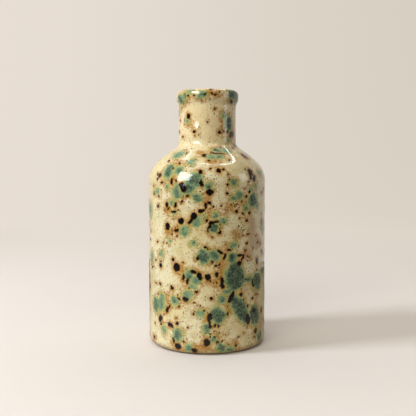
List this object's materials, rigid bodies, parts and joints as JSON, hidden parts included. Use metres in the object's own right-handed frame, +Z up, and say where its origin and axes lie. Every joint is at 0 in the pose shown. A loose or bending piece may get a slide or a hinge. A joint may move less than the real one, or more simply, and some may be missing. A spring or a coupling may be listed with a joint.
{
  "type": "bottle vase",
  "caption": "Round stoneware bottle vase with a straight body, rounded shoulder, short neck and rolled lip, glazed inside and out, standing on a bare foot ring.",
  "frame": {"origin": "centre of the circle the foot ring rests on, on the ground plane", "axes": "+Z up along the vase's axis of revolution; X and Y are free, and -Y is the side facing the viewer"},
  "size_m": [0.0948, 0.0948, 0.204],
  "materials": {
    "stoneware": "bare fired clay, matte and slightly sandy",
    "reactive_glaze": "glossy straw-coloured glaze with copper-green blots, amber streaks and black iron spots",
    "liner_glaze": "glossy cream liner glaze with a few iron specks"
  },
  "bodies": {
    "root": {"stoneware_body": "stoneware", "outer_glaze": "reactive_glaze", "liner_glaze": "liner_glaze"}
  },
  "joints": []
}
